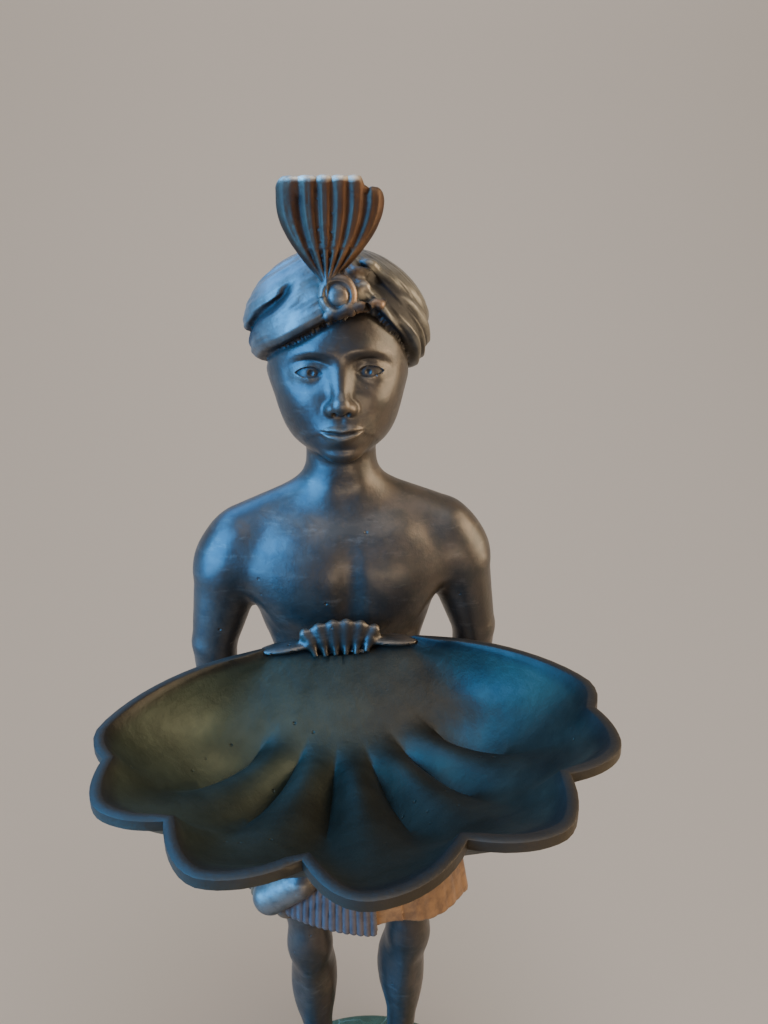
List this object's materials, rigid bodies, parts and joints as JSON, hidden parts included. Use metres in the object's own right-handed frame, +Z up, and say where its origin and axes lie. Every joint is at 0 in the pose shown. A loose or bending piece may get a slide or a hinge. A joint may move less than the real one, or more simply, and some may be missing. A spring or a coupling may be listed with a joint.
{
  "type": "bronze figurine",
  "caption": "Patinated bronze figurine of a boy in a plumed turban and pleated kilt, holding a scalloped shell dish, on a round green marble base.",
  "frame": {"origin": "middle of the underside of the round base", "axes": "+Z up through the figure, -Y the way the figure faces and holds out the dish, +X the figure's left"},
  "size_m": [0.1178, 0.1525, 0.3324],
  "materials": {
    "bronze": "dark brown waxed patina, semi-gloss, rubbed brighter on the high edges",
    "marble": "polished green marble with paler veins"
  },
  "bodies": {
    "root": {"figure": "bronze", "base": "marble"}
  },
  "joints": []
}
